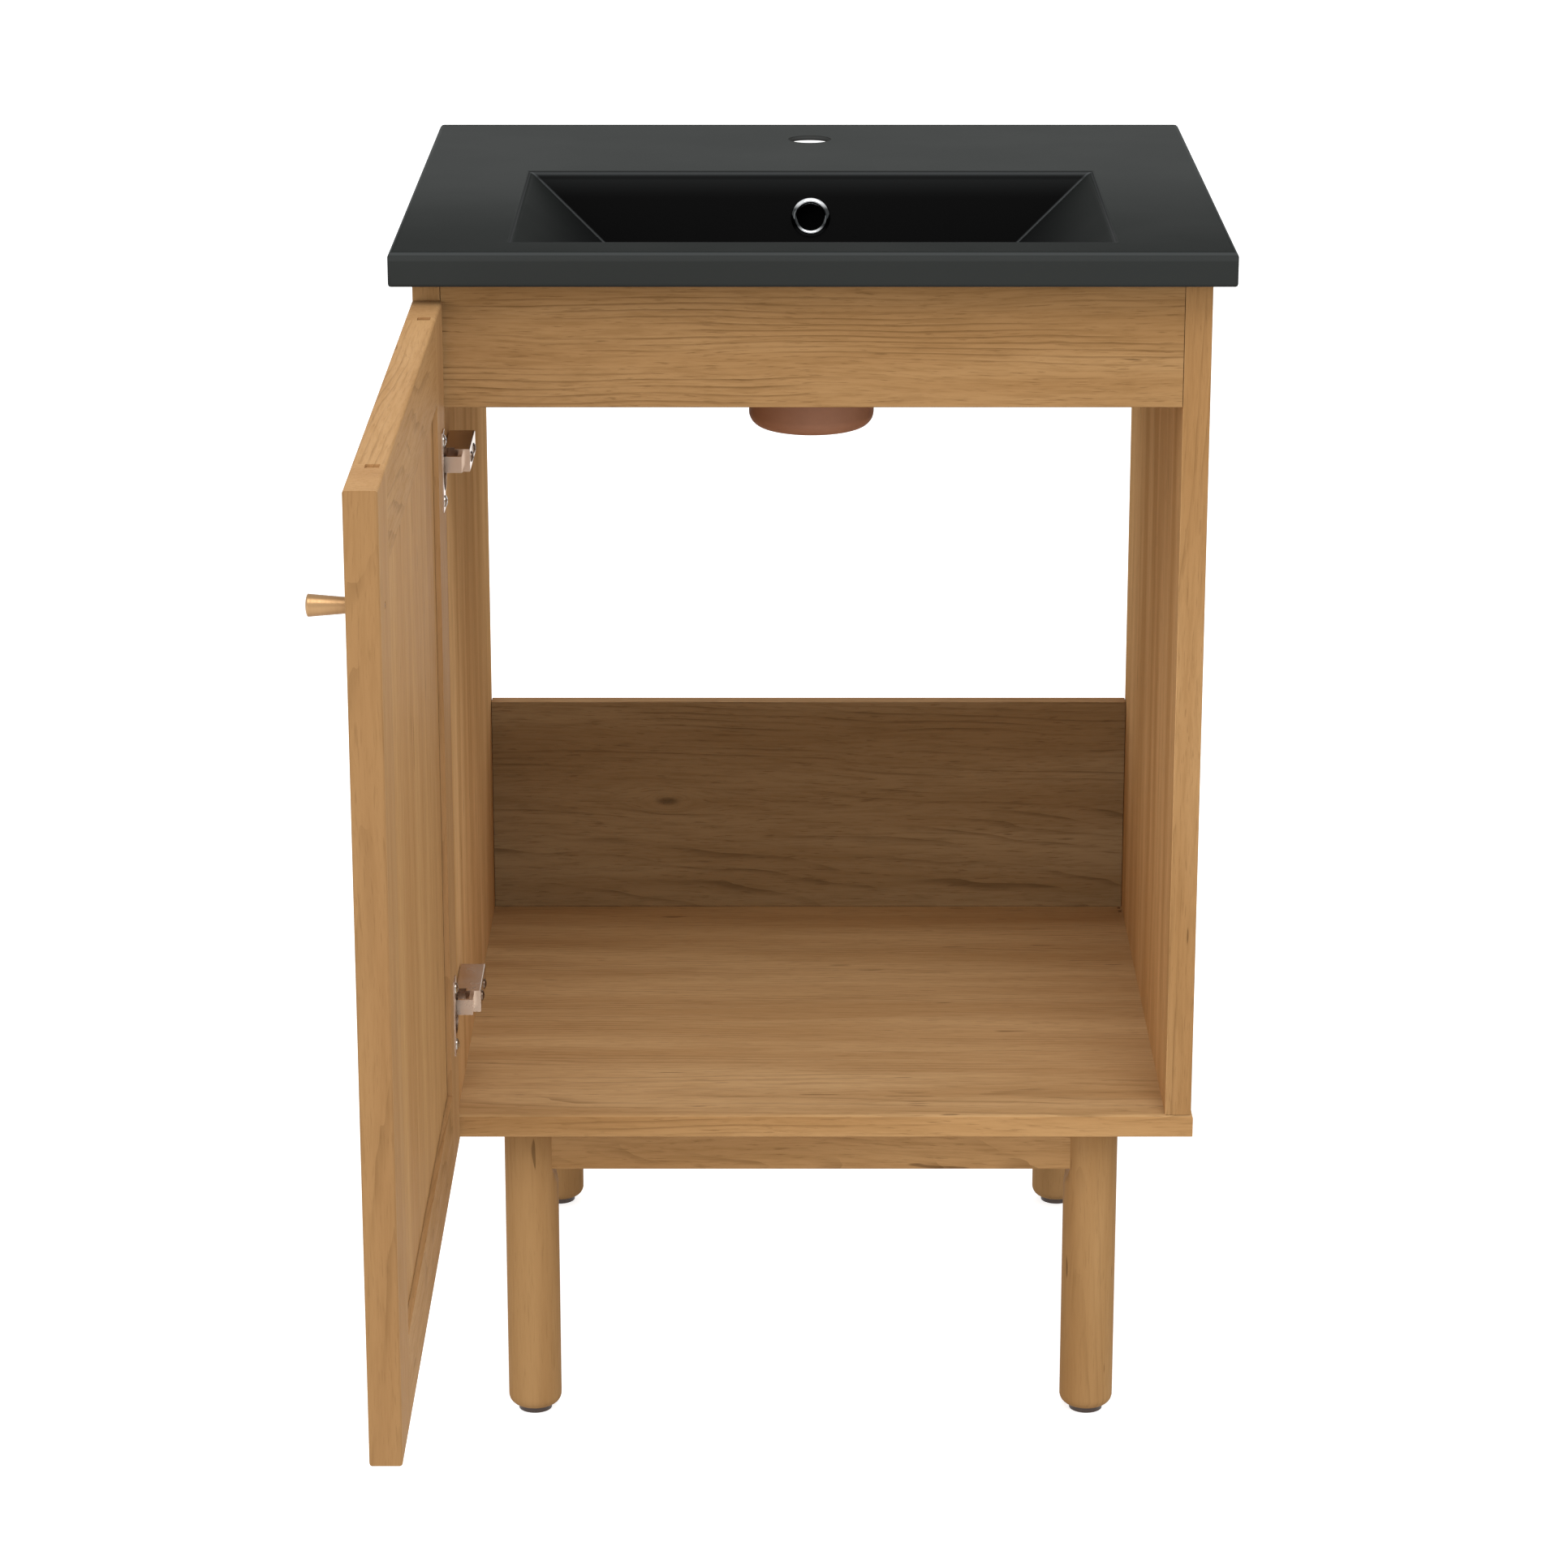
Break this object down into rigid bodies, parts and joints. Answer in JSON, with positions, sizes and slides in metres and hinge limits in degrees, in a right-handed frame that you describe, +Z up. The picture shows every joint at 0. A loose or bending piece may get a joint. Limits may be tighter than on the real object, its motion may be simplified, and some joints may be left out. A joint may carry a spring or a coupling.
{
  "type": "vanity unit",
  "caption": "Open bathroom vanity unit with a black ceramic basin top, a framed oak door on concealed hinges and round turned legs.",
  "frame": {"origin": "centre of the base of the bounding box, with the door open at a right angle; the floor is Z = 0", "axes": "+Z up; the front of the cabinet and the open door point to -Y, the wall is at +Y, and +X is to the viewer's right"},
  "size_m": [0.6275, 1.11, 0.94],
  "materials": {
    "ceramic": "matt black glaze",
    "chrome_ring": "polished",
    "oak_veneer": "oak veneer, satin lacquer",
    "oak_solid": "solid oak, satin lacquer",
    "oak_inner": "oak veneer, satin lacquer",
    "beech_dowel": "plain",
    "zinc_steel": "zinc plated",
    "nickel_plate": "warm nickel plate",
    "brass_pins": "plain",
    "brushed_brass": "brushed",
    "glide_plastic": "dark"
  },
  "bodies": {
    "cabinet": {"vanity_top": "ceramic", "overflow_ring": "chrome_ring", "side_panel_left": "oak_veneer", "side_panel_right": "oak_veneer", "front_rail": "oak_veneer", "back_rail": "oak_inner", "back_panel": "oak_inner", "bottom_board": "oak_veneer", "corner_blocks": "oak_inner", "board_dowels": "beech_dowel", "side_screws": "zinc_steel", "panel_pins": "brass_pins", "leg_front_left": "oak_solid", "leg_front_right": "oak_solid", "leg_rear_left": "oak_solid", "leg_rear_right": "oak_solid", "apron_front": "oak_solid", "apron_rear": "oak_solid", "apron_left": "oak_solid", "apron_right": "oak_solid", "glide_front_left": "glide_plastic", "glide_front_right": "glide_plastic", "glide_rear_left": "glide_plastic", "glide_rear_right": "glide_plastic", "apron_dowels": "beech_dowel", "corner_plates": "zinc_steel", "hanger_bolts": "zinc_steel", "hanger_nuts": "zinc_steel", "plate_wood_screws": "zinc_steel", "apron_screws": "zinc_steel", "hinge_arm_upper": "nickel_plate", "hinge_arm_lower": "nickel_plate", "mounting_plate_upper": "nickel_plate", "mounting_plate_lower": "nickel_plate", "mounting_screws": "zinc_steel", "adjusting_screws": "zinc_steel"},
    "door": {"door_stile_hinge": "oak_solid", "door_stile_free": "oak_solid", "door_rail_top": "oak_solid", "door_rail_bottom": "oak_solid", "door_panel": "oak_veneer", "knob": "brushed_brass", "knob_screw": "zinc_steel", "hinge_cup_upper": "nickel_plate", "hinge_cup_lower": "nickel_plate", "hinge_pin_upper": "zinc_steel", "hinge_pin_lower": "zinc_steel", "cup_screws": "nickel_plate"}
  },
  "joints": [
    {"name": "door_hinge", "type": "hinge", "parent": "cabinet", "child": "door", "pos_m": [-0.2795, 0.0135, 0.572], "axis": [0, 0, 1], "range_deg": [-15, 90]}
  ]
}
